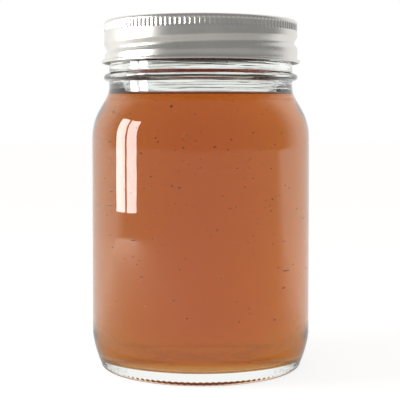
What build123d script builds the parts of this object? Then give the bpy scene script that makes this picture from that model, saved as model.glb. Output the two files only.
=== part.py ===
from build123d import *
import os

# A pint preserving jar full of honey, closed by a flat lid disc and a screw band.
# Millimetres. +Z is up, and the origin is the centre of the ring that the jar stands on.

# Jar body
body_diameter = 82.5
jar_height = 129.2          # standing ring to sealing rim
wall = 3.0
heel_width = 4.55           # body radius less the radius of the ring that the jar stands on
bearing_width = 3.6
push_up = 1.6               # how far the underside rises inside that ring
heel_height = 13.6          # height at which the heel has run out into the straight wall
heel_fullness = 0.30        # handle length of the heel's curve, as a share of its run
inner_heel_fullness = 0.6
base_thickness = 4.8        # glass under the honey at the edge of the floor
floor_rise = 0.8            # how far the floor rises to its middle
inner_heel_width = 7.75     # inner wall to the edge of the floor
inner_heel_height = 11.0    # edge of the floor up to the straight inner wall

# Shoulder and neck, as drops from the sealing rim
shoulder_height = 19.9
shoulder_handles = (11.5, 6.0)
neck_drop = 23.3            # narrowest place under the bead
neck_step = 0.3             # neck radius over the finish's
neck_land = 1.3             # straight stretch of the neck under the bead
bead_drop = 19.8
bead_stand_out = 2.3        # bead radius over the finish's
bead_height = 3.4

# Finish: the screw thread and the rim that the lid seals on
finish_diameter = 69.0      # glass between the turns of the thread
mouth_bore = 60.3
rim_radius = 1.1            # rounding of the rim's two edges
thread_pitch = 6.35
thread_section = 0.252      # radius of the thread's round section, as a share of the pitch
thread_depth = 1.1          # how far it stands out of the glass
thread_turns = 1.0
thread_drop = 6.0           # rim to the thread's centre line at the front
thread_front = -90          # degrees: the front of the jar looks along -Y
thread_clearance = 0.2      # between the glass thread and the band's groove under it

# Honey
fill_drop = 3.8             # level of the honey under the narrowest place of the neck
honey_clearance = 0.05

# Lid disc: tinplate with its sealing ring, lying on the rim
disc_clearance = 1.8        # edge of the disc to the inside of the band's knurled part
disc_thickness = 1.1        # at the sealing rim
tin_thickness = 0.3
disc_edge_drop = 0.7        # depth of the turned-down edge below the rim's top
disc_rim_clearance = 0.15   # between the turned-down edge and the glass
panel_margin = 4.65         # edge of the mouth's bore to the raised panel
panel_rise = 0.5            # raised panel inside the band's opening

# Screw band
sheet = 0.35
band_height = 16.0
band_clearance = 0.65       # inside of the skirt to the crest of the glass thread
flange_width = 8.1          # outside of the skirt to the band's opening
band_corner = 1.2           # outer rounding between the flange and the skirt
groove_section = 0.252      # radius of the rolled thread groove, as a share of the pitch
groove_depth = 1.1
groove_turns = 0.9
knurl_count = 130
knurl_height = 3.6
knurl_depth = 0.25
knurl_radius = 0.9
knurl_drop = 0.5            # top of the band to the knurls
curl_radius = 0.65          # the rolled lower edge
curl_stand_out = 1.1        # how far the curl stands out of the skirt

# What follows from them
body_r = body_diameter / 2
bearing_r = body_r - heel_width
inner_r = body_r - wall
floor_r = inner_r - inner_heel_width
finish_r = finish_diameter / 2
bore_r = mouth_bore / 2
neck_z = jar_height - neck_drop
shoulder_z = neck_z - shoulder_height
bead_z = jar_height - bead_drop
thread_z = jar_height - thread_drop
honey_level = neck_z - fill_drop
thread_radius = thread_section * thread_pitch
groove_radius = groove_section * thread_pitch
crest_r = finish_r + thread_depth
thread_path_r = crest_r - thread_radius
skirt_inner_r = crest_r + band_clearance
skirt_r = skirt_inner_r + sheet
groove_path_r = skirt_r - groove_depth + groove_radius
# The two round sections lie this far apart, measured between their middles.
thread_reach = thread_radius + thread_clearance + sheet + groove_radius
groove_z = thread_z - (thread_reach ** 2 - (groove_path_r - thread_path_r) ** 2) ** 0.5
knurl_inner_r = skirt_inner_r - knurl_depth
opening_r = skirt_r - flange_width
band_top = jar_height + disc_thickness + sheet
band_bottom = band_top - band_height


def turned(*outline):
    """A full turn round Z of a closed outline whose points are (radius, height)."""
    face = make_face(Curve() + list(outline))
    return revolve(Plane.XZ * face, Axis.Z)


def corner_curve(start, end, fullness):
    """A curve that leaves start level and reaches end upright."""
    run = end[0] - start[0]
    rise = end[1] - start[1]
    return Bezier(start, (start[0] + fullness * run, start[1]), (end[0], end[1] - fullness * rise), end)


def shoulder_curve(start, end):
    """An S-curve that leaves start and reaches end upright."""
    low, high = shoulder_handles
    return Bezier(start, (start[0], start[1] + low), (end[0], end[1] - high), end)


def helical_tube(tube_radius, path_radius, front_z, turns):
    """A round bar with ball ends, wound right-handed, whose middle passes the front at front_z."""
    height = turns * thread_pitch
    path = Helix(thread_pitch, height, path_radius)
    bar = sweep(Plane(path @ 0, z_dir=path % 0) * Circle(tube_radius), path=path)
    ends = [Pos(*(path @ end)) * Sphere(tube_radius) for end in (0, 1)]
    turn = thread_front - 180 * turns
    return [Pos(0, 0, front_z - height / 2) * Rot(0, 0, turn) * piece for piece in [bar] + ends]


def cavity(gap, top):
    """The inside of the jar up to a height, drawn in by a gap from the glass all round."""
    floor_z = base_thickness + gap
    middle_z = floor_z + floor_rise
    side_r = inner_r - gap
    heel_z = floor_z + inner_heel_height
    throat = (bore_r - gap, neck_z + neck_land)
    space = turned(
        Line((0, middle_z), (floor_r, floor_z)),
        corner_curve((floor_r, floor_z), (side_r, heel_z), inner_heel_fullness),
        Line((side_r, heel_z), (side_r, shoulder_z)),
        shoulder_curve((side_r, shoulder_z), throat),
        Line(throat, (throat[0], jar_height + wall)),
        Line((throat[0], jar_height + wall), (0, jar_height + wall)),
        Line((0, jar_height + wall), (0, middle_z)),
    )
    keep = Pos(0, 0, top / 2) * Cylinder(body_diameter, top)
    return space & keep


def glass_outside():
    """The jar's outside with its underside, and no thread yet."""
    ring_inner_r = bearing_r - bearing_width
    neck_r = finish_r + neck_step
    bead_r = finish_r + bead_stand_out
    bead_low = (neck_r, bead_z - bead_height / 2)
    bead_high = (finish_r, bead_z + bead_height / 2)
    return turned(
        Line((0, push_up), (ring_inner_r - 2 * push_up, push_up)),
        corner_curve((ring_inner_r, 0), (ring_inner_r - 2 * push_up, push_up), 0),
        Line((ring_inner_r, 0), (bearing_r, 0)),
        corner_curve((bearing_r, 0), (body_r, heel_height), heel_fullness),
        Line((body_r, heel_height), (body_r, shoulder_z)),
        shoulder_curve((body_r, shoulder_z), (neck_r, neck_z)),
        Line((neck_r, neck_z), bead_low),
        ThreePointArc(bead_low, (bead_r, bead_z), bead_high),
        Line(bead_high, (finish_r, jar_height)),
        Line((finish_r, jar_height), (0, jar_height)),
        Line((0, jar_height), (0, push_up)),
    )


def make_glass_jar():
    """The jar: its body, bead, screw thread and rounded sealing rim."""
    thread = helical_tube(thread_radius, thread_path_r, thread_z, thread_turns)
    jar = glass_outside() - cavity(0, jar_height + wall)
    rim_edges = jar.edges().filter_by(GeomType.CIRCLE).group_by(Axis.Z)[-1]
    jar = fillet(rim_edges, rim_radius)
    for piece in thread:
        jar = jar + piece
    return jar


def make_honey():
    """The honey, which fills the jar to its level."""
    return cavity(honey_clearance, honey_level)


def make_lid_disc():
    """The disc: a sealing rim on the glass, a turned-down edge and a raised panel."""
    top = jar_height + disc_thickness
    edge_r = knurl_inner_r - disc_clearance
    seal_r = finish_r - rim_radius - disc_rim_clearance
    panel_r = bore_r - panel_margin
    slope_r = panel_r - 2 * panel_rise
    under = top - tin_thickness
    return turned(
        Line((0, under + panel_rise), (slope_r, under + panel_rise)),
        Line((slope_r, under + panel_rise), (panel_r, under)),
        Line((panel_r, under), (bore_r, under)),
        Line((bore_r, under), (bore_r + rim_radius, jar_height)),
        Line((bore_r + rim_radius, jar_height), (seal_r, jar_height)),
        Line((seal_r, jar_height), (edge_r, top - disc_edge_drop)),
        Line((edge_r, top - disc_edge_drop), (edge_r, top - tin_thickness)),
        Line((edge_r, top - tin_thickness), (edge_r - tin_thickness, top)),
        Line((edge_r - tin_thickness, top), (panel_r, top)),
        Line((panel_r, top), (slope_r, top + panel_rise)),
        Line((slope_r, top + panel_rise), (0, top + panel_rise)),
        Line((0, top + panel_rise), (0, under + panel_rise)),
    )


def band_blank():
    """The band before its thread and knurls are rolled: flange, skirt and curl."""
    knurl_low = band_top - knurl_drop - knurl_height - knurl_radius
    inner_corner = band_corner - sheet
    flange_under = band_top - sheet
    # The middle of a quarter round lies this share of its radius inside the sharp corner.
    inset = 1 - 0.5 ** 0.5
    outer_bend = (skirt_r - band_corner * inset, band_top - band_corner * inset)
    inner_start = (knurl_inner_r, flange_under - inner_corner)
    inner_bend = (knurl_inner_r - inner_corner * inset, flange_under - inner_corner * inset)
    inner_end = (knurl_inner_r - inner_corner, flange_under)
    skirt = turned(
        Line((opening_r, flange_under), (opening_r, band_top)),
        Line((opening_r, band_top), (skirt_r - band_corner, band_top)),
        ThreePointArc((skirt_r - band_corner, band_top), outer_bend, (skirt_r, band_top - band_corner)),
        Line((skirt_r, band_top - band_corner), (skirt_r, band_bottom + curl_radius)),
        Line((skirt_r, band_bottom + curl_radius), (skirt_inner_r, band_bottom + curl_radius)),
        Line((skirt_inner_r, band_bottom + curl_radius), (skirt_inner_r, knurl_low - knurl_depth)),
        Line((skirt_inner_r, knurl_low - knurl_depth), (knurl_inner_r, knurl_low)),
        Line((knurl_inner_r, knurl_low), inner_start),
        ThreePointArc(inner_start, inner_bend, inner_end),
        Line(inner_end, (opening_r, flange_under)),
    )
    curl_r = skirt_r + curl_stand_out - curl_radius
    curl = Pos(0, 0, band_bottom + curl_radius) * Torus(curl_r, curl_radius)
    return skirt + curl


def make_screw_band():
    """The screw band: the blank with its rolled thread groove and its knurls."""
    backing = helical_tube(groove_radius + sheet, groove_path_r, groove_z, groove_turns)
    groove = helical_tube(groove_radius, groove_path_r, groove_z, groove_turns)
    inside = Pos(0, 0, band_top - band_height / 2) * Cylinder(skirt_r, band_height)
    band = band_blank()
    for piece in backing:
        band = band + (piece & inside)
    for piece in groove:
        band = band - piece
    knurl_path_r = skirt_r - knurl_depth + knurl_radius
    knurl_z = band_top - knurl_drop - knurl_height / 2
    knurl = Cylinder(knurl_radius, knurl_height) + Pos(0, 0, -knurl_height / 2) * Sphere(knurl_radius)
    return band - [Pos(0, 0, knurl_z) * place * knurl for place in PolarLocations(knurl_path_r, knurl_count)]


PARTS = {
    "glass_jar": make_glass_jar,
    "honey": make_honey,
    "lid_disc": make_lid_disc,
    "screw_band": make_screw_band,
}

os.makedirs("parts", exist_ok=True)
for name, make in PARTS.items():
    export_step(make(), f"parts/{name}.step")
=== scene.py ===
"""Looks of a pint preserving jar full of honey, with a flat lid disc and a screw band."""

import math
import random

import bpy
from bpy.props import FloatProperty, FloatVectorProperty, IntProperty, PointerProperty
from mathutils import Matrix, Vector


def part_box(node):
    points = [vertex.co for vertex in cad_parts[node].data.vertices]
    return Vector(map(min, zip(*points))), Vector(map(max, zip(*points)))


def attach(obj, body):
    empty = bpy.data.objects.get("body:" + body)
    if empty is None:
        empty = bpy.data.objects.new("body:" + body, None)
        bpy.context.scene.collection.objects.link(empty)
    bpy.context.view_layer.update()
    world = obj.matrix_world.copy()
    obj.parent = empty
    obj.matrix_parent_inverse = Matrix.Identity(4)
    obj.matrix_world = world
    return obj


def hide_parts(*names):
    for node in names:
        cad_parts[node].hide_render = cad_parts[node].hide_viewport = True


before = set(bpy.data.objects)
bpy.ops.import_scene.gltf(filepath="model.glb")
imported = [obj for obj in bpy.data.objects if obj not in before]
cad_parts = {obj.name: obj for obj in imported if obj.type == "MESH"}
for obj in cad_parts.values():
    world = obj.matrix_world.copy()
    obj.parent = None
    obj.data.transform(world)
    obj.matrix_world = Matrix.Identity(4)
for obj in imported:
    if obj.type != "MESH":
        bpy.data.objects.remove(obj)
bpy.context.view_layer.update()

bl_info = {
    "name": "Honey Jar",
    "version": (1, 0, 0),
    "blender": (4, 5, 0),
    "location": "View3D > Sidebar > Honey Jar",
    "description": "Builds a preserving jar of honey, its lid and its stage around the packed frame",
    "category": "Object",
}

MM = 0.001
WELD = 0.001 * MM           # points nearer than this are one point
GLASS_IOR = 1.5
HONEY_IOR = 1.49
# Facing measure below which the painted shade inside the band begins
PAINTED_SHADE_START = -0.05 * MM   # clear of nought, which is what a flat top gives, give or take rounding
SHADOW_SHARE = 0.35         # how much of the floor's colour carries the jar's shadow
GLASS_LOW, GLASS_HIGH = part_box("glass_jar")
HONEY_LOW, HONEY_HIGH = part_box("honey")
DISC_LOW, DISC_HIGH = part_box("lid_disc")
BAND_LOW, BAND_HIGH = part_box("screw_band")


# ---------------------------------------------------------------- sizes and colours

def length(name, default, description):
    """A size in metres."""
    return FloatProperty(
        name=name, description=description, default=default, unit="LENGTH", subtype="DISTANCE", precision=5
    )


def colour(name, default, description):
    """A colour as red, green and blue."""
    return FloatVectorProperty(
        name=name, description=description, default=default, size=3, min=0.0, max=1.0, subtype="COLOR"
    )


def amount(name, default, description):
    """A plain number."""
    return FloatProperty(name=name, description=description, default=default)


def count(name, default, description):
    """A whole number."""
    return IntProperty(name=name, description=description, default=default, min=1)


class GlassSettings(bpy.types.PropertyGroup):
    """Sizes and look of the jar's glass."""

    radius: length("Body radius", GLASS_HIGH.x, "Outside of the straight wall")
    height: length("Height", GLASS_HIGH.z, "Standing ring to sealing rim")
    wall: length("Wall", 3.0 * MM, "Thickness of the straight wall")
    heel_width: length("Heel width", 4.55 * MM, "Body radius less the radius of the standing ring")
    heel_height: length("Heel height", 13.6 * MM, "Where the heel runs out into the straight wall")
    ring_width: length("Ring width", 3.6 * MM, "Width of the standing ring")
    push_up: length("Push-up", 1.6 * MM, "How far the underside rises inside the ring")
    base: length("Base", 4.8 * MM, "Glass under the edge of the floor")
    floor_rise: length("Floor rise", 0.8 * MM, "How far the floor rises to its middle")
    inner_heel_width: length("Inner heel width", 7.75 * MM, "Inner wall to the edge of the floor")
    inner_heel_height: length("Inner heel height", 11.0 * MM, "Floor to the straight inner wall")
    shoulder_height: length("Shoulder height", 19.9 * MM, "Straight wall to the neck")
    neck_drop: length("Neck drop", 23.3 * MM, "Rim to the narrowest place of the neck")
    neck_radius: length("Neck radius", 34.8 * MM, "Outside of the neck")
    bead_drop: length("Bead drop", 19.8 * MM, "Rim to the middle of the bead")
    bead_radius: length("Bead radius", 36.8 * MM, "Outside of the bead")
    bead_height: length("Bead height", 3.4 * MM, "Height of the bead")
    finish_radius: length("Finish radius", 34.5 * MM, "Glass between the turns of the thread")
    bore_radius: length("Bore radius", 30.15 * MM, "Inside of the mouth")
    rim_radius: length("Rim radius", 1.1 * MM, "Rounding of the rim")
    thread_depth: length("Thread depth", 1.1 * MM, "How far the thread stands out")
    thread_width: length("Thread width", 3.2 * MM, "Height of the thread's section")
    thread_drop: length("Thread drop", 6.0 * MM, "Rim to the thread at the front")
    thread_pitch: length("Thread pitch", 6.35 * MM, "Rise of the thread in one turn")
    stipple_height: length("Stipple height", 0.22 * MM, "How far the stipples on the ring stand out")
    stipples: count("Stipples", 108, "Stipples round the standing ring")
    segments: count("Segments", 432, "Facets round the jar")
    tint: colour("Tint", (0.965, 0.985, 0.965), "Faint green of the glass")
    ripple: amount("Neck ripple", 0.5, "Strength of the ripples round the neck")


class HoneySettings(bpy.types.PropertyGroup):
    """Level, colour and bubbles of the honey."""

    level: length("Level", HONEY_HIGH.z - 0.6 * MM, "Height of the honey's flat middle")
    reach: length("Reach", 0.15 * MM, "How far the honey reaches into the glass")
    meniscus_height: length("Meniscus height", 1.5 * MM, "How far the honey climbs at the glass")
    meniscus_width: length("Meniscus width", 3.2 * MM, "How wide that climb is")
    segments: count("Segments", 288, "Facets round the honey")
    colour: colour("Colour", (0.918, 0.73, 0.03), "What one absorption length lets through")
    density: amount("Density", 118.0, "Absorption for each metre")
    bubbles: count("Bubbles", 260, "Small bubbles in the honey")
    smallest: length("Smallest bubble", 0.16 * MM, "Radius of the smallest bubble")
    largest: length("Largest bubble", 0.36 * MM, "Radius of the largest bubble")
    seed: count("Seed", 11, "Seed of the bubbles' places")


class BandSettings(bpy.types.PropertyGroup):
    """Sizes and look of the screw band."""

    top: length("Top", BAND_HIGH.z, "Top of the flange")
    bottom: length("Bottom", BAND_LOW.z, "Lower edge")
    radius: length("Skirt radius", 36.6 * MM, "Outside of the skirt")
    opening: length("Opening radius", 28.5 * MM, "Inside of the flange")
    sheet: length("Sheet", 0.35 * MM, "Thickness of the metal")
    corner: length("Corner", 1.2 * MM, "Rounding between flange and skirt")
    knurls: count("Knurls", 130, "Knurls round the skirt")
    knurl_facets: count("Knurl facets", 7, "Facets in one knurl")
    knurl_top: length("Knurl top", 1.25 * MM, "Top of the band to the knurls")
    knurl_height: length("Knurl height", 3.0 * MM, "Height of a knurl")
    knurl_width: length("Knurl width", 1.24 * MM, "Width of the hollow in one knurl")
    knurl_depth: length("Knurl depth", 0.34 * MM, "Depth of that hollow")
    groove_depth: length("Groove depth", 1.1 * MM, "Depth of the rolled thread groove")
    groove_rise: length("Groove upper side", 2.6 * MM, "Height of the groove's upper side")
    groove_fall: length("Groove lower side", 2.5 * MM, "Height of the groove's lower side")
    groove_front: length("Groove front", 9.9 * MM, "Top of the band to the groove's bottom at the front")
    groove_turns: amount("Groove turns", 0.98, "Turns of the groove")
    bulge: length("Bulge", 0.12 * MM, "How far the skirt swells under the groove")
    curl: length("Curl", 0.6 * MM, "Radius of the rolled lower edge")
    curl_out: length("Curl stand-out", 1.15 * MM, "How far the rolled edge stands out of the skirt")
    colour: colour("Colour", (0.78, 0.76, 0.72), "Bare tinplate")
    # Painted shade: this dark colour stands in for the shade inside the band, which is bare tinplate, not
    # lacquer
    painted_shade_inside: colour("Painted_shade", (0.13, 0.10, 0.07), "Dull lacquer inside the band")


class DiscSettings(bpy.types.PropertyGroup):
    """Sizes and look of the lid disc."""

    top: length("Top", DISC_HIGH.z - 0.5 * MM, "Top of the disc's rim")
    radius: length("Radius", DISC_HIGH.x, "Edge of the disc")
    sheet: length("Sheet", 0.3 * MM, "Thickness of the metal")
    panel_radius: length("Panel radius", 25.5 * MM, "Raised panel")
    panel_rise: length("Panel rise", 0.5 * MM, "How far the panel is raised")
    button_radius: length("Button radius", 14.0 * MM, "Dished middle of the panel")
    button_depth: length("Button depth", 0.45 * MM, "How far the middle is drawn down")
    segments: count("Segments", 288, "Facets round the disc")
    colour: colour("Colour", (0.78, 0.77, 0.74), "Bare tinplate")
    compound: colour("Compound", (0.62, 0.60, 0.55), "Sealing ring under the disc")


class StageSettings(bpy.types.PropertyGroup):
    """Camera, floor and light."""

    distance: length("Camera distance", 412.5 * MM, "Camera to the jar's axis")
    eye: length("Eye height", 93.3 * MM, "Height of the camera")
    aside: length("Aside", -0.27 * MM, "How far the camera stands to the side")
    lens: amount("Lens", 97.2, "Focal length in millimetres on a 36 mm sensor")
    pitch: amount("Pitch", 1.8, "Degrees that the camera looks down")
    shift: amount("Shift", -0.1152, "Upright shift of the lens, as a share of the picture's width")
    floor_colour: colour("Floor", (0.80, 0.77, 0.72), "Pale floor")
    floor_white: amount("Floor white", 0.84, "Plain white in the floor that shows behind the jar")
    backdrop: amount("Backdrop", 1.0, "Strength of the white backdrop")
    unlit: amount("Unlit side", 0.30, "Strength of what metal and glass show on the camera's side")
    fill: amount("Fill", 0.55, "Plain light from all round")
    softbox: amount("Softbox", 1.4, "Power in watts of each panel of the softbox")


class HoneyJarSettings(bpy.types.PropertyGroup):
    """Everything that the panel shows."""

    glass: PointerProperty(type=GlassSettings)
    honey: PointerProperty(type=HoneySettings)
    band: PointerProperty(type=BandSettings)
    disc: PointerProperty(type=DiscSettings)
    stage: PointerProperty(type=StageSettings)


# ---------------------------------------------------------------- drawing and turning

def span(start, end, steps):
    """The points after start on a straight line to end, evenly spaced."""
    return [
        (start[0] + (end[0] - start[0]) * i / steps, start[1] + (end[1] - start[1]) * i / steps)
        for i in range(1, steps + 1)
    ]


def curve(start, leave, arrive, end, steps):
    """The points after start on a cubic curve with those two handles."""
    points = []
    for i in range(1, steps + 1):
        t = i / steps
        weights = ((1 - t) ** 3, 3 * t * (1 - t) ** 2, 3 * t * t * (1 - t), t ** 3)
        corners = (start, leave, arrive, end)
        points.append(tuple(sum(w * c[axis] for w, c in zip(weights, corners)) for axis in (0, 1)))
    return points


def arc(centre, radius, begin, finish, steps):
    """Points on an arc, from one angle in degrees to another, both ends included."""
    points = []
    for i in range(steps + 1):
        angle = math.radians(begin + (finish - begin) * i / steps)
        points.append((centre[0] + radius * math.cos(angle), centre[1] + radius * math.sin(angle)))
    return points


def draw_outline(name, outline):
    """Draws (radius, height) points in the XZ plane, each extruded from the last, and stays in edit mode."""
    bpy.ops.object.select_all(action="DESELECT")
    bpy.ops.mesh.primitive_plane_add(size=MM, location=(0, 0, 0))
    piece = bpy.context.object
    piece.name = name
    piece.data.name = name
    bpy.ops.object.mode_set(mode="EDIT")
    bpy.ops.mesh.select_all(action="SELECT")
    bpy.ops.mesh.merge(type="CENTER")
    bpy.ops.transform.translate(value=(outline[0][0], 0, outline[0][1]))
    last = outline[0]
    for point in outline[1:]:
        step = (point[0] - last[0], 0, point[1] - last[1])
        if math.hypot(*step) > WELD:
            bpy.ops.mesh.extrude_vertices_move(TRANSFORM_OT_translate={"value": step})
            last = point
    return piece


def turn(name, outline, segments):
    """A piece turned round Z from an outline, welded, with its faces pointing outwards."""
    piece = draw_outline(name, outline)
    bpy.ops.mesh.select_all(action="SELECT")
    bpy.ops.mesh.spin(steps=segments, angle=math.tau, center=(0, 0, 0), axis=(0, 0, 1), use_auto_merge=True)
    bpy.ops.mesh.select_all(action="SELECT")
    bpy.ops.mesh.remove_doubles(threshold=WELD)
    bpy.ops.mesh.normals_make_consistent(inside=False)
    bpy.ops.object.mode_set(mode="OBJECT")
    return piece


def raise_relief(piece, height, weight_at):
    """Moves each point along its normal by height times weight_at(point, normal), a share from 0 to 1."""
    group = piece.vertex_groups.new(name="relief")
    for vertex in piece.data.vertices:
        weight = weight_at(vertex.co, vertex.normal)
        if weight > 0.0:
            group.add([vertex.index], min(weight, 1.0), "REPLACE")
    bpy.ops.object.modifier_add(type="DISPLACE")
    relief = piece.modifiers[-1]
    relief.vertex_group = group.name
    relief.strength = height
    relief.mid_level = 0.0
    bpy.ops.object.modifier_apply(modifier=relief.name)
    piece.vertex_groups.clear()


def smooth(piece, degrees):
    """Smooth shading, with edges sharper than an angle kept sharp."""
    bpy.ops.object.select_all(action="DESELECT")
    piece.select_set(True)
    bpy.context.view_layer.objects.active = piece
    bpy.ops.object.shade_smooth_by_angle(angle=math.radians(degrees))


def finish_piece(piece, material, node=None):
    """Gives a piece its material, its body and the node that it stands for."""
    piece.data.materials.clear()
    piece.data.materials.append(material)
    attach(piece, "root")
    if node:
        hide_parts(node)


def eased(x):
    """0 to 1 with level ends, for x from 0 to 1."""
    x = min(max(x, 0.0), 1.0)
    return x * x * (3 - 2 * x)


def front_turns(co):
    """Turns round Z from the front, which looks along -Y, towards +X: from -0.5 to 0.5 at the back."""
    return math.atan2(co.x, -co.y) / math.tau


def faces_out(co, normal):
    """Whether a point's normal leads away from the Z axis."""
    return co.x * normal.x + co.y * normal.y > 0.0


# ---------------------------------------------------------------- materials

def place(tree, kind, values=None, **settings):
    """Adds a shader node with its settings and its unlinked values."""
    new = tree.nodes.new(kind)
    for key, value in settings.items():
        setattr(new, key, value)
    for key, value in (values or {}).items():
        new.inputs[key].default_value = value
    return new


def new_material(name):
    """An empty node material and its output."""
    material = bpy.data.materials.new(name)
    material.use_nodes = True
    material.node_tree.nodes.clear()
    output = place(material.node_tree, "ShaderNodeOutputMaterial")
    return material, material.node_tree, output


def blend(tree, factor, first, second):
    """Mixes two colours, each a socket or a plain colour, by a socket."""
    mix = place(tree, "ShaderNodeMix", data_type="RGBA")
    tree.links.new(factor, mix.inputs["Factor"])
    for slot, value in ((6, first), (7, second)):
        if isinstance(value, bpy.types.NodeSocket):
            tree.links.new(value, mix.inputs[slot])
        else:
            mix.inputs[slot].default_value = (*value, 1.0)
    return mix.outputs[2]


def grain_group():
    """Rolled metal: fine grain, faint scratches and cloudy patches, as a shade, a roughness and a height."""
    tree = bpy.data.node_groups.new("rolled_grain", "ShaderNodeTree")
    for name, default in (("Grain Scale", 900.0), ("Cloud Scale", 60.0), ("Roughness", 0.3)):
        tree.interface.new_socket(name, in_out="INPUT", socket_type="NodeSocketFloat").default_value = default
    for name in ("Shade", "Roughness", "Height"):
        tree.interface.new_socket(name, in_out="OUTPUT", socket_type="NodeSocketFloat")
    start = place(tree, "NodeGroupInput")
    end = place(tree, "NodeGroupOutput")
    where = place(tree, "ShaderNodeTexCoord")
    stretch = place(tree, "ShaderNodeMapping", {"Scale": (1.0, 1.0, 0.12)})
    grain = place(tree, "ShaderNodeTexNoise", {"Detail": 3.0, "Roughness": 0.6})
    cloud = place(tree, "ShaderNodeTexNoise", {"Detail": 4.0, "Roughness": 0.55})
    tree.links.new(where.outputs["Object"], stretch.inputs["Vector"])
    tree.links.new(stretch.outputs["Vector"], grain.inputs["Vector"])
    tree.links.new(where.outputs["Object"], cloud.inputs["Vector"])
    tree.links.new(start.outputs["Grain Scale"], grain.inputs["Scale"])
    tree.links.new(start.outputs["Cloud Scale"], cloud.inputs["Scale"])
    shade_range = {"From Min": 0.3, "From Max": 0.7, "To Min": 0.88, "To Max": 1.04}
    shade = place(tree, "ShaderNodeMapRange", shade_range)
    tree.links.new(cloud.outputs["Fac"], shade.inputs["Value"])
    tree.links.new(shade.outputs["Result"], end.inputs["Shade"])
    rough_range = {"From Min": 0.25, "From Max": 0.75, "To Min": -0.05, "To Max": 0.07}
    rough = place(tree, "ShaderNodeMapRange", rough_range)
    tree.links.new(cloud.outputs["Fac"], rough.inputs["Value"])
    add = place(tree, "ShaderNodeMath", operation="ADD")
    tree.links.new(start.outputs["Roughness"], add.inputs[0])
    tree.links.new(rough.outputs["Result"], add.inputs[1])
    tree.links.new(add.outputs["Value"], end.inputs["Roughness"])
    tree.links.new(grain.outputs["Fac"], end.inputs["Height"])
    return tree


def tinplate(name, base, roughness, grain_scale, bump, painted_shade_inside=None):
    """Satin tinplate with the rolled grain, and a darker colour where it faces the Z axis: painted shade."""
    material, tree, output = new_material(name)
    shader = place(tree, "ShaderNodeBsdfPrincipled", {"Metallic": 1.0})
    grain = place(tree, "ShaderNodeGroup", node_tree=bpy.data.node_groups["rolled_grain"])
    grain.inputs["Grain Scale"].default_value = grain_scale
    grain.inputs["Roughness"].default_value = roughness
    tint = place(tree, "ShaderNodeMix", {"Factor": 1.0}, data_type="RGBA", blend_type="MULTIPLY")
    tint.inputs[6].default_value = (*base, 1.0)
    relief = place(tree, "ShaderNodeBump", {"Strength": bump, "Distance": 0.02 * MM})
    tree.links.new(grain.outputs["Shade"], tint.inputs[7])
    # Faces that look towards the Z axis take the painted shade colour, standing in for shade inside the band
    if painted_shade_inside:
        where = place(tree, "ShaderNodeTexCoord")
        flat = place(tree, "ShaderNodeVectorMath", {1: (1.0, 1.0, 0.0)}, operation="MULTIPLY")
        facing = place(tree, "ShaderNodeVectorMath", operation="DOT_PRODUCT")
        inner = place(tree, "ShaderNodeMath", {1: PAINTED_SHADE_START}, operation="LESS_THAN")
        tree.links.new(where.outputs["Object"], flat.inputs[0])
        tree.links.new(flat.outputs["Vector"], facing.inputs[0])
        tree.links.new(where.outputs["Normal"], facing.inputs[1])
        tree.links.new(facing.outputs["Value"], inner.inputs[0])
        shaded_inside = blend(tree, inner.outputs["Value"], tint.outputs[2], painted_shade_inside)
        tree.links.new(shaded_inside, shader.inputs["Base Color"])
    else:
        tree.links.new(tint.outputs[2], shader.inputs["Base Color"])
    tree.links.new(grain.outputs["Roughness"], shader.inputs["Roughness"])
    tree.links.new(grain.outputs["Height"], relief.inputs["Height"])
    tree.links.new(relief.outputs["Normal"], shader.inputs["Normal"])
    tree.links.new(shader.outputs["BSDF"], output.inputs["Surface"])
    return material


def clear_glass(g):
    """Clear pressed glass with a faint wave in its surface and fine ripples round its neck."""
    material, tree, output = new_material("clear_glass")
    clear = {"Transmission Weight": 1.0, "Roughness": 0.0, "IOR": GLASS_IOR}
    shader = place(tree, "ShaderNodeBsdfPrincipled", clear)
    shader.inputs["Base Color"].default_value = (*g.tint, 1.0)
    where = place(tree, "ShaderNodeTexCoord")
    wave = place(tree, "ShaderNodeTexNoise", {"Scale": 55.0, "Detail": 1.0})
    relief = place(tree, "ShaderNodeBump", {"Strength": 0.35, "Distance": 0.12 * MM})
    tree.links.new(where.outputs["Object"], wave.inputs["Vector"])
    tree.links.new(wave.outputs["Fac"], relief.inputs["Height"])
    long = place(tree, "ShaderNodeMapping", {"Scale": (0.02, 0.02, 1.0)})
    rings = place(tree, "ShaderNodeTexNoise", {"Scale": 900.0, "Detail": 2.0})
    split = place(tree, "ShaderNodeSeparateXYZ")
    neck_z = g.height - g.neck_drop
    neck = place(tree, "ShaderNodeMapRange", {"From Min": neck_z - 4.0 * MM, "From Max": neck_z - 1.5 * MM})
    height = place(tree, "ShaderNodeMath", operation="MULTIPLY")
    ripple = place(tree, "ShaderNodeBump", {"Strength": g.ripple, "Distance": 0.25 * MM})
    tree.links.new(where.outputs["Object"], long.inputs["Vector"])
    tree.links.new(long.outputs["Vector"], rings.inputs["Vector"])
    tree.links.new(where.outputs["Object"], split.inputs["Vector"])
    tree.links.new(split.outputs["Z"], neck.inputs["Value"])
    tree.links.new(rings.outputs["Fac"], height.inputs[0])
    tree.links.new(neck.outputs["Result"], height.inputs[1])
    tree.links.new(height.outputs["Value"], ripple.inputs["Height"])
    tree.links.new(relief.outputs["Normal"], ripple.inputs["Normal"])
    tree.links.new(ripple.outputs["Normal"], shader.inputs["Normal"])
    tree.links.new(shader.outputs["BSDF"], output.inputs["Surface"])
    return material


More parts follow.
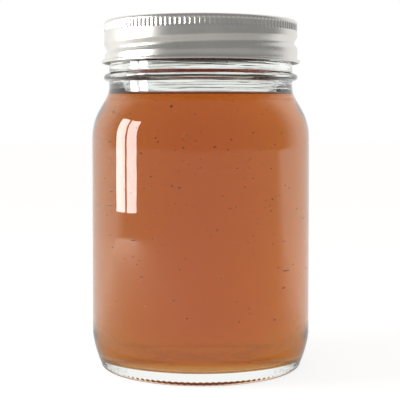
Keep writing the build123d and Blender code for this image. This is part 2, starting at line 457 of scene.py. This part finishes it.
def amber_honey(look):
    """Clear honey, coloured by how far light goes through it."""
    material, tree, output = new_material("amber_honey")
    clear = {"Transmission Weight": 1.0, "Roughness": 0.0, "IOR": HONEY_IOR}
    shader = place(tree, "ShaderNodeBsdfPrincipled", clear)
    shader.inputs["Base Color"].default_value = (1.0, 1.0, 1.0, 1.0)
    # Honey and glass bend light almost alike, so the surface between them hardly mirrors.
    shader.inputs["Specular IOR Level"].default_value = 0.0
    depth = place(tree, "ShaderNodeVolumeAbsorption", {"Density": look.density})
    depth.inputs["Color"].default_value = (*look.colour, 1.0)
    tree.links.new(shader.outputs["BSDF"], output.inputs["Surface"])
    tree.links.new(depth.outputs["Volume"], output.inputs["Volume"])
    return material


def air_bubble():
    """Air inside honey, half opaque so that small bubbles still show."""
    material, tree, output = new_material("air_bubble")
    half_clear = {"Transmission Weight": 0.5, "Roughness": 0.1, "IOR": 1 / HONEY_IOR}
    shader = place(tree, "ShaderNodeBsdfPrincipled", half_clear)
    shader.inputs["Base Color"].default_value = (1.0, 0.86, 0.62, 1.0)
    tree.links.new(shader.outputs["BSDF"], output.inputs["Surface"])
    return material


def sealing_compound(base):
    """Soft moulded ring under the disc."""
    material, tree, output = new_material("sealing_compound")
    shader = place(tree, "ShaderNodeBsdfPrincipled", {"Roughness": 0.5})
    where = place(tree, "ShaderNodeTexCoord")
    mottle = place(tree, "ShaderNodeTexNoise", {"Scale": 400.0, "Detail": 2.0})
    tint = place(tree, "ShaderNodeMix", data_type="RGBA")
    tint.inputs[6].default_value = (*(0.85 * c for c in base), 1.0)
    tint.inputs[7].default_value = (*base, 1.0)
    tree.links.new(where.outputs["Object"], mottle.inputs["Vector"])
    tree.links.new(mottle.outputs["Fac"], tint.inputs["Factor"])
    tree.links.new(tint.outputs[2], shader.inputs["Base Color"])
    tree.links.new(shader.outputs["BSDF"], output.inputs["Surface"])
    return material


# ---------------------------------------------------------------- outlines

def glass_outline(g):
    """The jar's section from the middle of its underside, over the rim, to the middle of its floor."""
    ring_out = g.radius - g.heel_width
    ring_in = ring_out - g.ring_width
    dome = ring_in - 2 * g.push_up
    neck_z = g.height - g.neck_drop
    shoulder_z = neck_z - g.shoulder_height
    bead_z = g.height - g.bead_drop
    half_bead = g.bead_height / 2
    heel = 0.30
    high = (11.5 * MM, 6.0 * MM)

    points = [(0.0, g.push_up)]
    points += span(points[-1], (dome, g.push_up), 6)
    points += curve(points[-1], (ring_in, g.push_up), (ring_in, 0.4 * g.push_up), (ring_in, 0.1 * MM), 6)
    points += span(points[-1], (ring_in + 0.1 * MM, 0.0), 1)
    points += span(points[-1], (ring_out, 0.0), 3)
    points += curve(
        (ring_out, 0.0),
        (ring_out + heel * g.heel_width, 0.0),
        (g.radius, (1 - heel) * g.heel_height),
        (g.radius, g.heel_height),
        24,
    )
    points += span(points[-1], (g.radius, shoulder_z), 18)
    points += curve(
        (g.radius, shoulder_z),
        (g.radius, shoulder_z + high[0]),
        (g.neck_radius, neck_z - high[1]),
        (g.neck_radius, neck_z),
        22,
    )
    points += span(points[-1], (g.neck_radius, bead_z - half_bead - 0.3 * MM), 2)
    stand_out = g.bead_radius - g.neck_radius
    points += curve(
        points[-1],
        (g.neck_radius, bead_z - 0.75 * half_bead),
        (g.neck_radius + 0.45 * stand_out, bead_z - 0.95 * half_bead),
        (g.bead_radius - 0.25 * MM, bead_z - 0.45 * half_bead),
        6,
    )
    points += curve(
        points[-1],
        (g.bead_radius + 0.08 * MM, bead_z - 0.12 * half_bead),
        (g.bead_radius + 0.08 * MM, bead_z + 0.12 * half_bead),
        (g.bead_radius - 0.25 * MM, bead_z + 0.45 * half_bead),
        6,
    )
    points += curve(
        points[-1],
        (g.finish_radius + 0.45 * stand_out, bead_z + 0.95 * half_bead),
        (g.finish_radius + 0.35 * MM, bead_z + 0.8 * half_bead),
        (g.finish_radius + 0.35 * MM, bead_z + half_bead + 0.6 * MM),
        6,
    )
    thread_low = g.height - g.thread_drop - 5.0 * MM
    points += span(points[-1], (g.finish_radius, thread_low), 4)
    points += span(points[-1], (g.finish_radius, g.height - g.rim_radius), 22)
    points += arc((g.finish_radius - g.rim_radius, g.height - g.rim_radius), g.rim_radius, 0, 90, 5)
    points += arc((g.bore_radius + g.rim_radius, g.height - g.rim_radius), g.rim_radius, 90, 180, 5)
    points += inside_outline(g, 0.0)
    return points


def inside_outline(g, reach):
    """The jar's inside from the mouth down to the middle of the floor, moved into the glass by reach."""
    neck_z = g.height - g.neck_drop
    shoulder_z = neck_z - g.shoulder_height
    throat_z = neck_z + 1.3 * MM
    bore = g.bore_radius + reach
    inner = g.radius - g.wall + reach
    floor_z = g.base - reach
    floor_r = g.radius - g.wall - g.inner_heel_width
    heel = 0.6
    points = [(bore, throat_z + 8.0 * MM), (bore, throat_z)]
    points += curve(
        points[-1],
        (bore, throat_z - 6.0 * MM),
        (inner, shoulder_z + 11.5 * MM),
        (inner, shoulder_z),
        26,
    )
    points += span(points[-1], (inner, floor_z + g.inner_heel_height), 14)
    points += curve(
        points[-1],
        (inner, floor_z + (1 - heel) * g.inner_heel_height),
        (floor_r + heel * g.inner_heel_width, floor_z),
        (floor_r, floor_z),
        14,
    )
    points += span(points[-1], (0.0, floor_z + g.floor_rise), 5)
    return points


def honey_outline(g, h):
    """The honey's section from the middle of its surface, over the climb at the glass, to the floor."""
    side = [point for point in inside_outline(g, h.reach) if point[1] < h.level - MM]
    wall_r = g.bore_radius + h.reach
    below = side[0]
    for higher in reversed([p for p in inside_outline(g, h.reach) if p[1] >= h.level - MM]):
        if higher[1] >= h.level + h.meniscus_height:
            wall_r = higher[0]
            break
    top = (wall_r, h.level + h.meniscus_height)
    foot = wall_r - h.meniscus_width
    points = [(0.0, h.level)]
    points += span(points[-1], (foot, h.level), 8)
    rise_from = (foot + 0.6 * h.meniscus_width, h.level)
    points += curve(points[-1], rise_from, (top[0] - 0.05 * MM, h.level), top, 8)
    points += span(points[-1], below, 3)
    return points + side[1:]


def band_outline(b):
    """The band's closed section: flange, corner, skirt, rolled edge, and back up its inside."""
    top = b.top
    swell = b.radius + b.bulge
    foot_z = b.bottom + 1.7 * MM
    curl_r = b.radius + b.curl_out - b.curl
    curl_z = b.bottom + b.curl
    knurl_low = top - b.knurl_top - b.knurl_height
    wall_top = top - b.corner
    groove_high = top - 4.4 * MM
    groove_low = b.bottom + 3.9 * MM

    points = [(b.opening, top - b.sheet), (b.opening, top)]
    points += span(points[-1], (b.radius - b.corner, top), 3)
    points += arc((b.radius - b.corner, wall_top), b.corner, 90, 0, 7)
    points += span(points[-1], (b.radius, wall_top - 1.1 * MM), 5)
    points += span(points[-1], (b.radius, knurl_low + 1.1 * MM), 1)
    points += span(points[-1], (b.radius, knurl_low - 0.2 * MM), 6)
    steps = 27
    first = knurl_low - 0.2 * MM
    for i in range(1, steps + 1):
        z = first + (groove_low - first) * i / steps
        share = eased((groove_high - z) / (groove_high - groove_low))
        points.append((b.radius + (swell - b.radius) * share, z))
    into_foot = (b.radius, foot_z + 0.6 * MM)
    points += curve(points[-1], (swell, groove_low - 0.6 * MM), into_foot, (b.radius, foot_z), 6)
    points += curve(
        points[-1],
        (b.radius, foot_z - 0.7 * MM),
        (curl_r - 0.45 * MM, curl_z + b.curl + 0.1 * MM),
        (curl_r, curl_z + b.curl),
        6,
    )
    points += arc((curl_r, curl_z), b.curl, 90, -160, 12)
    inner_foot = b.radius - b.sheet
    points += span(points[-1], (inner_foot, curl_z + 0.2 * MM), 1)
    points += span(points[-1], (inner_foot, foot_z), 2)
    points += curve(
        points[-1],
        (inner_foot, foot_z + 0.6 * MM),
        (swell - b.sheet, groove_low - 0.6 * MM),
        (swell - b.sheet, groove_low),
        3,
    )
    inner_steps = 15
    for i in range(1, inner_steps + 1):
        z = groove_low + (first - groove_low) * i / inner_steps
        share = eased((groove_high - z) / (groove_high - groove_low))
        points.append((b.radius - b.sheet + (swell - b.radius) * share, z))
    inner_r = b.radius - b.sheet - b.knurl_depth
    points.append((inner_r, first + b.knurl_depth))
    points.append((inner_r, wall_top))
    points += arc((b.radius - b.corner, wall_top), b.corner - b.sheet, 45, 90, 2)
    points.append((b.opening, top - b.sheet))
    return points


def disc_outline(d):
    """The disc's closed section: dished middle, raised panel, flat rim and turned-down edge."""
    panel_top = d.top + d.panel_rise
    slope = 2 * d.panel_rise
    dish = d.button_radius
    dish_z = panel_top - d.button_depth
    points = [(0.0, dish_z)]
    points += span(points[-1], (dish - 4.0 * MM, dish_z), 4)
    points += curve(points[-1], (dish - 2.5 * MM, dish_z), (dish - 1.5 * MM, panel_top), (dish, panel_top), 7)
    points += span(points[-1], (d.panel_radius - slope - 0.6 * MM, panel_top), 3)
    points += curve(
        points[-1],
        (d.panel_radius - slope, panel_top),
        (d.panel_radius - 0.4 * slope, d.top),
        (d.panel_radius + 0.5 * MM, d.top),
        7,
    )
    edge_r = d.radius - d.sheet
    points += span(points[-1], (edge_r - 0.2 * MM, d.top), 3)
    points += arc((edge_r, d.top - d.sheet), d.sheet, 90, 0, 4)
    points += span(points[-1], (d.radius, d.top - 0.75 * MM), 1)
    points.append((edge_r, d.top - 0.75 * MM))
    under = [(max(r - d.sheet * 0.6, 0.0) if r > edge_r else r, z - d.sheet) for r, z in points[:-6]]
    points.append((edge_r, d.top - d.sheet))
    return points + list(reversed(under))


# ---------------------------------------------------------------- operators

class HONEYJAR_OT_glass(bpy.types.Operator):
    """Turns the glass jar and raises its thread and its stipples"""

    bl_idname = "honeyjar.glass"
    bl_label = "Glass Jar"

    def execute(self, context):
        g = context.scene.honey_jar.glass
        jar = turn("jar_glass", glass_outline(g), g.segments)
        thread_z = g.height - g.thread_drop
        half = g.thread_width / 2
        outside = g.finish_radius - 0.5 * MM

        def thread(co, normal):
            if co.xy.length < outside or co.z < thread_z - 5.0 * MM:
                return 0.0
            best = 0.0
            for lap in (-1, 0, 1):
                along = front_turns(co) + lap
                taper = eased((0.54 - abs(along)) / 0.08)
                off = abs(co.z - thread_z - along * g.thread_pitch)
                best = max(best, taper * eased(1.35 * (1 - off / half)))
            return best

        def stipple(co, normal):
            if co.xy.length < g.radius - g.heel_width - 0.1 * MM:
                return 0.0
            high = math.sin(math.pi * min(max((co.z - g.stipple_height) / (1.5 * MM), 0.0), 1.0))
            around = 0.5 + 0.5 * math.cos(math.tau * g.stipples * front_turns(co))
            return high * around

        raise_relief(jar, g.thread_depth, thread)
        raise_relief(jar, g.stipple_height, stipple)
        smooth(jar, 60)
        finish_piece(jar, clear_glass(g), "glass_jar")
        return {"FINISHED"}


class HONEYJAR_OT_honey(bpy.types.Operator):
    """Fills the jar with honey that climbs a little at the glass"""

    bl_idname = "honeyjar.honey"
    bl_label = "Honey"

    def execute(self, context):
        settings = context.scene.honey_jar
        honey = turn("honey_fill", honey_outline(settings.glass, settings.honey), settings.honey.segments)
        smooth(honey, 60)
        finish_piece(honey, amber_honey(settings.honey), "honey")
        return {"FINISHED"}


def add_ball(model, place_at, radius):
    """One copy of the model bubble, with its own mesh, at a place and a radius."""
    ball = model.copy()
    ball.data = model.data.copy()
    ball.location = place_at
    ball.scale = (radius, radius, radius)
    bpy.context.collection.objects.link(ball)
    ball.select_set(True)


class HONEYJAR_OT_bubbles(bpy.types.Operator):
    """Scatters small bubbles through the honey"""

    bl_idname = "honeyjar.bubbles"
    bl_label = "Bubbles"

    def execute(self, context):
        settings = context.scene.honey_jar
        g = settings.glass
        h = settings.honey
        draw = random.Random(h.seed)
        inner = g.radius - g.wall - 5.0 * MM
        low = g.base + 6.0 * MM
        high = h.level - 1.0 * MM
        bpy.ops.object.select_all(action="DESELECT")
        bpy.ops.mesh.primitive_ico_sphere_add(subdivisions=2, radius=1.0, location=(0, 0, 0))
        bubbles = context.object
        bubbles.name = "honey_bubbles"
        bubbles.data.name = "honey_bubbles"
        for _ in range(h.bubbles):
            angle = draw.uniform(0, math.tau)
            z = low + (high - low) * draw.random() ** 0.7
            narrow = eased((z - (g.height - g.neck_drop - g.shoulder_height)) / g.shoulder_height)
            reach = inner - narrow * (inner - g.bore_radius + 1.0 * MM)
            out = reach * draw.random() ** 0.22
            size = h.smallest + (h.largest - h.smallest) * draw.random() ** 2
            add_ball(bubbles, (out * math.sin(angle), -out * math.cos(angle), z), size)
        bubbles.location = (0, 0, (low + high) / 2)
        bubbles.scale = (h.smallest, h.smallest, h.smallest)
        bubbles.select_set(True)
        bpy.ops.object.join()
        bpy.ops.object.transform_apply(location=True, rotation=False, scale=True)
        smooth(bubbles, 80)
        finish_piece(bubbles, air_bubble())
        return {"FINISHED"}


class HONEYJAR_OT_band(bpy.types.Operator):
    """Turns the screw band and rolls its thread groove and its knurls"""

    bl_idname = "honeyjar.band"
    bl_label = "Screw Band"

    def execute(self, context):
        settings = context.scene.honey_jar
        b = settings.band
        pitch = settings.glass.thread_pitch
        band = turn("band_metal", band_outline(b), b.knurls * b.knurl_facets)
        front = b.top - b.groove_front
        half_turns = b.groove_turns / 2
        cell = math.tau * b.radius / b.knurls
        slot_low = b.top - b.knurl_top - b.knurl_height + b.knurl_width / 2
        slot_high = b.top - b.knurl_top - b.knurl_width / 2
        skirt = b.opening + 5.0 * MM

        def groove(co):
            if co.xy.length < skirt:
                return 0.0
            best = 0.0
            for lap in (-1, 0, 1):
                along = front_turns(co) + lap
                taper = eased((half_turns - abs(along)) / 0.07)
                off = co.z - front - along * pitch
                side = off / b.groove_rise if off > 0 else -off / b.groove_fall
                best = max(best, taper * (0.5 + 0.5 * math.cos(math.pi * min(side, 1.0))))
            return best

        def outer_groove(co, normal):
            return groove(co) if faces_out(co, normal) else 0.0

        def inner_groove(co, normal):
            return 0.0 if faces_out(co, normal) else groove(co)

        def knurl(co, normal):
            if co.xy.length < skirt or co.z < slot_low - b.knurl_width or not faces_out(co, normal):
                return 0.0
            across = (front_turns(co) * b.knurls % 1.0 - 0.5) * cell
            along = max(slot_low - co.z, co.z - slot_high, 0.0)
            off = math.hypot(across, along)
            return eased((b.knurl_width / 2 - off) / (0.32 * b.knurl_width) + 0.25)

        raise_relief(band, b.groove_depth, inner_groove)
        raise_relief(band, -b.groove_depth, outer_groove)
        raise_relief(band, -b.knurl_depth, knurl)
        smooth(band, 50)
        # The band's inside gets the painted shade colour
        metal = tinplate("band_tinplate", b.colour, 0.27, 900.0, 0.25, b.painted_shade_inside)
        finish_piece(band, metal, "screw_band")
        return {"FINISHED"}


class HONEYJAR_OT_disc(bpy.types.Operator):
    """Turns the lid disc and the sealing ring under it"""

    bl_idname = "honeyjar.disc"
    bl_label = "Lid Disc"

    def execute(self, context):
        settings = context.scene.honey_jar
        d = settings.disc
        g = settings.glass
        disc = turn("lid_plate", disc_outline(d), d.segments)
        smooth(disc, 40)
        finish_piece(disc, tinplate("disc_tinplate", d.colour, 0.24, 700.0, 0.2), "lid_disc")
        under = d.top - d.sheet
        seal = [
            (g.bore_radius - 0.6 * MM, under),
            (g.bore_radius + 0.2 * MM, g.height - 0.1 * MM),
            (g.finish_radius - 0.9 * MM, g.height - 0.1 * MM),
            (g.finish_radius - 0.4 * MM, under),
            (g.bore_radius - 0.6 * MM, under),
        ]
        ring = turn("sealing_ring", seal, d.segments)
        smooth(ring, 40)
        finish_piece(ring, sealing_compound(d.compound))
        return {"FINISHED"}


# ---------------------------------------------------------------- stage

def rays_that_show(tree):
    """1 for camera, glossy and transmission rays, which all show the backdrop, else 0."""
    path = place(tree, "ShaderNodeLightPath")
    mirrors = place(tree, "ShaderNodeMath", operation="MAXIMUM")
    either = place(tree, "ShaderNodeMath", operation="MAXIMUM")
    tree.links.new(path.outputs["Is Camera Ray"], mirrors.inputs[0])
    tree.links.new(path.outputs["Is Glossy Ray"], mirrors.inputs[1])
    tree.links.new(mirrors.outputs["Value"], either.inputs[0])
    tree.links.new(path.outputs["Is Transmission Ray"], either.inputs[1])
    return path, either.outputs["Value"]


def floor_material(s):
    """A pale floor that keeps the jar's shadow.

    It is nearly white to the camera; metal and glass show it white behind the jar and grey in front.
    """
    material, tree, output = new_material("pale_floor")
    path, shown = rays_that_show(tree)
    where = place(tree, "ShaderNodeNewGeometry")
    split = place(tree, "ShaderNodeSeparateXYZ")
    across_jar = {"From Min": -0.05, "From Max": 0.1}
    studio = place(tree, "ShaderNodeMapRange", across_jar, interpolation_type="SMOOTHSTEP")
    studio.inputs["To Min"].default_value = s.unlit
    studio.inputs["To Max"].default_value = s.floor_white
    level = place(tree, "ShaderNodeMix", {"B": s.floor_white})
    tree.links.new(where.outputs["Position"], split.inputs["Vector"])
    tree.links.new(split.outputs["Y"], studio.inputs["Value"])
    tree.links.new(path.outputs["Is Camera Ray"], level.inputs["Factor"])
    tree.links.new(studio.outputs["Result"], level.inputs["A"])
    shadowed = place(tree, "ShaderNodeBsdfDiffuse")
    shadowed.inputs["Color"].default_value = (*(c * SHADOW_SHARE for c in s.floor_colour), 1.0)
    white = place(tree, "ShaderNodeEmission")
    tree.links.new(level.outputs["Result"], white.inputs["Strength"])
    seen = place(tree, "ShaderNodeAddShader")
    plain = place(tree, "ShaderNodeBsdfDiffuse")
    plain.inputs["Color"].default_value = (*s.floor_colour, 1.0)
    mixed = place(tree, "ShaderNodeMixShader")
    tree.links.new(shadowed.outputs["BSDF"], seen.inputs[0])
    tree.links.new(white.outputs["Emission"], seen.inputs[1])
    tree.links.new(shown, mixed.inputs["Fac"])
    tree.links.new(plain.outputs["BSDF"], mixed.inputs[1])
    tree.links.new(seen.outputs["Shader"], mixed.inputs[2])
    tree.links.new(mixed.outputs["Shader"], output.inputs["Surface"])
    return material


def light_world(s):
    """A white backdrop that metal and glass show too, a grey camera side for them, and plain fill light."""
    world = bpy.data.worlds.new("studio")
    bpy.context.scene.world = world
    world.use_nodes = True
    tree = world.node_tree
    tree.nodes.clear()
    output = place(tree, "ShaderNodeOutputWorld")
    path, shown = rays_that_show(tree)
    where = place(tree, "ShaderNodeTexCoord")
    split = place(tree, "ShaderNodeSeparateXYZ")
    side_to_back = {"From Min": 0.1, "From Max": 0.6}
    studio = place(tree, "ShaderNodeMapRange", side_to_back, interpolation_type="SMOOTHSTEP")
    studio.inputs["To Min"].default_value = s.unlit
    studio.inputs["To Max"].default_value = s.backdrop
    level = place(tree, "ShaderNodeMix", {"B": s.backdrop})
    fill = place(tree, "ShaderNodeBackground", {"Strength": s.fill})
    backdrop = place(tree, "ShaderNodeBackground")
    for light in (fill, backdrop):
        light.inputs["Color"].default_value = (1.0, 1.0, 1.0, 1.0)
    mixed = place(tree, "ShaderNodeMixShader")
    tree.links.new(where.outputs["Generated"], split.inputs["Vector"])
    tree.links.new(split.outputs["Y"], studio.inputs["Value"])
    tree.links.new(path.outputs["Is Camera Ray"], level.inputs["Factor"])
    tree.links.new(studio.outputs["Result"], level.inputs["A"])
    tree.links.new(level.outputs["Result"], backdrop.inputs["Strength"])
    tree.links.new(shown, mixed.inputs["Fac"])
    tree.links.new(fill.outputs["Background"], mixed.inputs[1])
    tree.links.new(backdrop.outputs["Background"], mixed.inputs[2])
    tree.links.new(mixed.outputs["Shader"], output.inputs["Surface"])


def hang_softbox(name, azimuth, distance, width, height, middle_z, watts):
    """One soft white panel that faces the jar, at an azimuth from the front towards +X.

    Glass mirrors it, and it doesn't show through glass.
    """
    angle = math.radians(azimuth)
    place_at = (distance * math.sin(angle), -distance * math.cos(angle), middle_z)
    bpy.ops.object.light_add(type="AREA", location=place_at, rotation=(math.pi / 2, 0, angle))
    panel = bpy.context.object
    panel.name = name
    panel.data.shape = "RECTANGLE"
    panel.data.size = width
    panel.data.size_y = height
    panel.data.energy = watts
    panel.visible_transmission = False


class HONEYJAR_OT_stage(bpy.types.Operator):
    """Sets the floor, the softbox, the world and the camera"""

    bl_idname = "honeyjar.stage"
    bl_label = "Stage"

    def execute(self, context):
        s = context.scene.honey_jar.stage
        bpy.ops.object.select_all(action="DESELECT")
        bpy.ops.mesh.primitive_plane_add(size=8.0, location=(0, 0, 0))
        floor = context.object
        floor.name = "floor"
        floor.data.materials.append(floor_material(s))

        for name, azimuth in (("softbox_near", -73.0), ("softbox_far", -88.0)):
            hang_softbox(name, azimuth, 0.50, 0.11, 0.30, 0.17, s.softbox)
        light_world(s)

        bpy.ops.object.camera_add(
            location=(s.aside, -s.distance, s.eye), rotation=(math.radians(90 - s.pitch), 0, 0)
        )
        camera = context.object
        camera.data.lens = s.lens
        camera.data.shift_y = s.shift
        camera.data.clip_start = 0.01
        context.scene.camera = camera
        context.scene.view_settings.view_transform = "Standard"
        context.scene.cycles.max_bounces = 32
        context.scene.cycles.transmission_bounces = 32
        context.scene.cycles.glossy_bounces = 12
        return {"FINISHED"}


class HONEYJAR_PT_panel(bpy.types.Panel):
    """Lists the pieces of the honey jar"""

    bl_idname = "HONEYJAR_PT_panel"
    bl_label = "Honey Jar"
    bl_space_type = "VIEW_3D"
    bl_region_type = "UI"
    bl_category = "Honey Jar"

    def draw(self, context):
        settings = context.scene.honey_jar
        for operator, group in PIECES:
            box = self.layout.box()
            box.operator(operator.bl_idname)
            part = getattr(settings, group)
            for key in part.__annotations__:
                box.prop(part, key)


PIECES = (
    (HONEYJAR_OT_glass, "glass"),
    (HONEYJAR_OT_honey, "honey"),
    (HONEYJAR_OT_bubbles, "honey"),
    (HONEYJAR_OT_band, "band"),
    (HONEYJAR_OT_disc, "disc"),
    (HONEYJAR_OT_stage, "stage"),
)
SETTINGS = (GlassSettings, HoneySettings, BandSettings, DiscSettings, StageSettings, HoneyJarSettings)
CLASSES = SETTINGS + tuple(operator for operator, _ in PIECES) + (HONEYJAR_PT_panel,)


def register():
    for item in CLASSES:
        bpy.utils.register_class(item)
    bpy.types.Scene.honey_jar = PointerProperty(type=HoneyJarSettings)


def unregister():
    del bpy.types.Scene.honey_jar
    for item in reversed(CLASSES):
        bpy.utils.unregister_class(item)


def main():
    """Builds every piece."""
    register()
    grain_group()
    bpy.ops.honeyjar.glass()
    bpy.ops.honeyjar.honey()
    bpy.ops.honeyjar.bubbles()
    bpy.ops.honeyjar.band()
    bpy.ops.honeyjar.disc()
    bpy.ops.honeyjar.stage()


if __name__ == "__main__":
    main()
